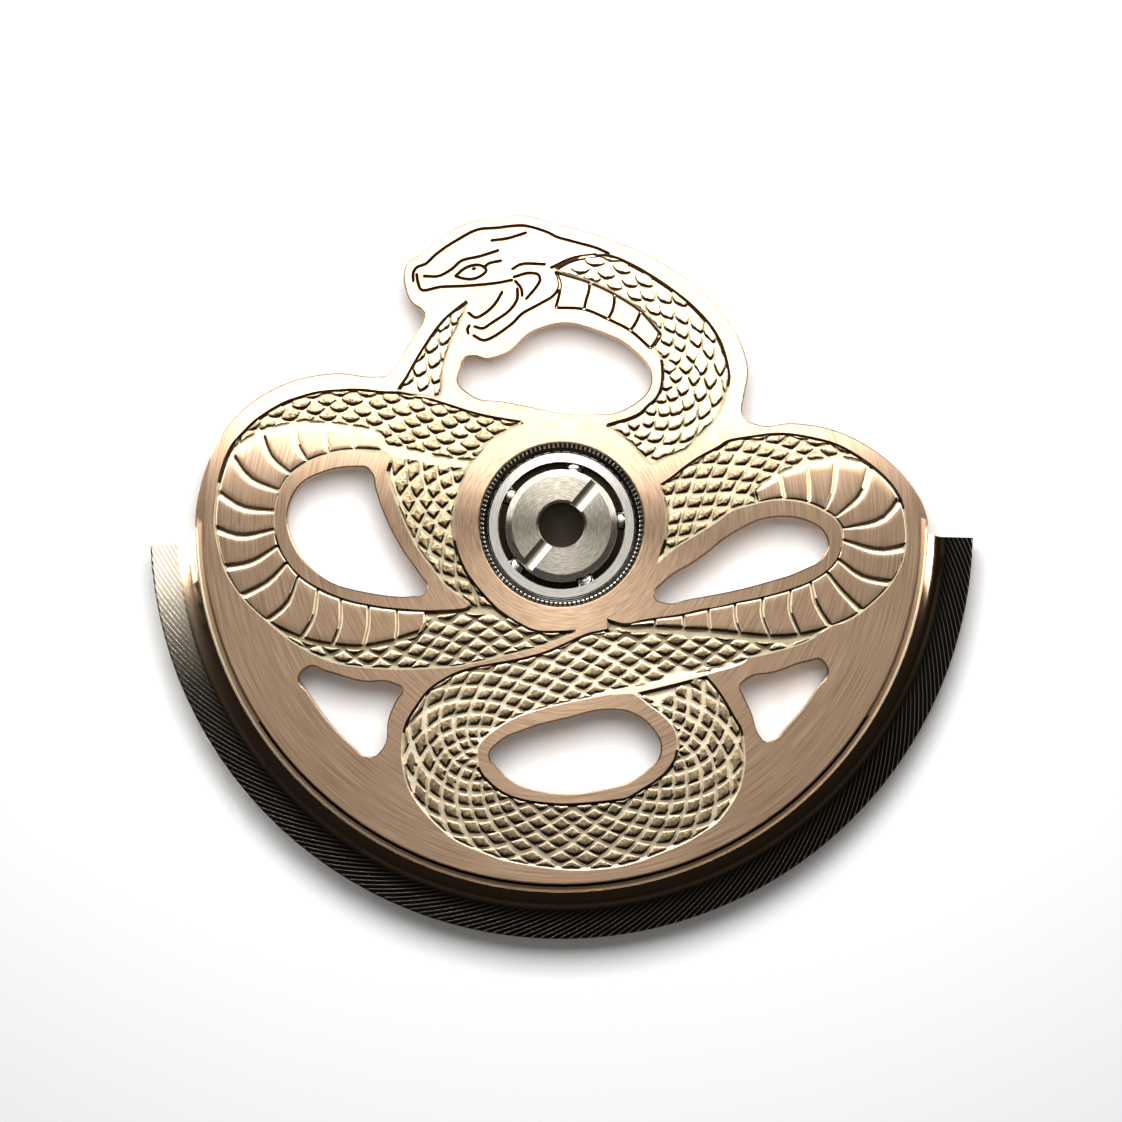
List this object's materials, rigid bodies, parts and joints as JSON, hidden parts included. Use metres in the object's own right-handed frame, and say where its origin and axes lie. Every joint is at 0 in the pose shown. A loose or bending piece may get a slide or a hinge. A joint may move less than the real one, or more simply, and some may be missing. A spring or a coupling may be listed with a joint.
{
  "type": "automatic watch rotor",
  "caption": "Oscillating weight of a self-winding watch: openwork brass plate engraved as a coiled snake, heavy half-ring weight, ball bearing and central screw.",
  "frame": {"origin": "on the rotor's axis, at the face where the bearing's lower cone sits on the movement", "axes": "+Z along the axis, away from the movement and towards the back of the watch; the weight's half ring lies on the -Y side"},
  "size_m": [0.026, 0.0228, 0.002],
  "materials": {
    "rose_brass": "rose-gold plated, straight and circular brushed",
    "dark_heavy_metal": "black nickel plated, engine-turned",
    "polished_steel": "polished bearing steel",
    "grey_steel": "circular brushed",
    "gear_brass": "fine cut",
    "cage_brass": "satin"
  },
  "bodies": {
    "hub": {"center_screw": "grey_steel", "inner_race_lower": "polished_steel", "inner_race_upper": "polished_steel"},
    "rotor": {"rotor_plate": "rose_brass", "weight_segment": "dark_heavy_metal", "bearing_outer_race": "polished_steel", "rotor_gear": "gear_brass"},
    "cage": {"ball_cage": "cage_brass"},
    "ball_1": {"bearing_ball_1": "polished_steel"},
    "ball_2": {"bearing_ball_2": "polished_steel"},
    "ball_3": {"bearing_ball_3": "polished_steel"},
    "ball_4": {"bearing_ball_4": "polished_steel"},
    "ball_5": {"bearing_ball_5": "polished_steel"}
  },
  "joints": [
    {"name": "rotor_spin", "type": "hinge", "parent": "hub", "child": "rotor", "pos_m": [0, 0, 0], "axis": [0, 0, 1], "continuous": true},
    {"name": "cage_spin", "type": "hinge", "parent": "hub", "child": "cage", "pos_m": [0, 0, 0], "axis": [0, 0, 1], "continuous": true},
    {"name": "ball_1_spin", "type": "hinge", "parent": "cage", "child": "ball_1", "pos_m": [0.00188, 0.00018, 0.00055], "axis": [0, 0, 1], "continuous": true},
    {"name": "ball_2_spin", "type": "hinge", "parent": "cage", "child": "ball_2", "pos_m": [0.00041, 0.00185, 0.00055], "axis": [0, 0, 1], "continuous": true},
    {"name": "ball_3_spin", "type": "hinge", "parent": "cage", "child": "ball_3", "pos_m": [-0.00163, 0.00096, 0.00055], "axis": [0, 0, 1], "continuous": true},
    {"name": "ball_4_spin", "type": "hinge", "parent": "cage", "child": "ball_4", "pos_m": [-0.00142, -0.00125, 0.00055], "axis": [0, 0, 1], "continuous": true},
    {"name": "ball_5_spin", "type": "hinge", "parent": "cage", "child": "ball_5", "pos_m": [0.00075, -0.00173, 0.00055], "axis": [0, 0, 1], "continuous": true}
  ],
  "couplings": [
    {"joint": "cage_spin", "follows": "rotor_spin", "ratio": 0.55612},
    {"joint": "ball_1_spin", "follows": "rotor_spin", "ratio": 4.3987},
    {"joint": "ball_2_spin", "follows": "rotor_spin", "ratio": 4.3987},
    {"joint": "ball_3_spin", "follows": "rotor_spin", "ratio": 4.3987},
    {"joint": "ball_4_spin", "follows": "rotor_spin", "ratio": 4.3987},
    {"joint": "ball_5_spin", "follows": "rotor_spin", "ratio": 4.3987}
  ]
}
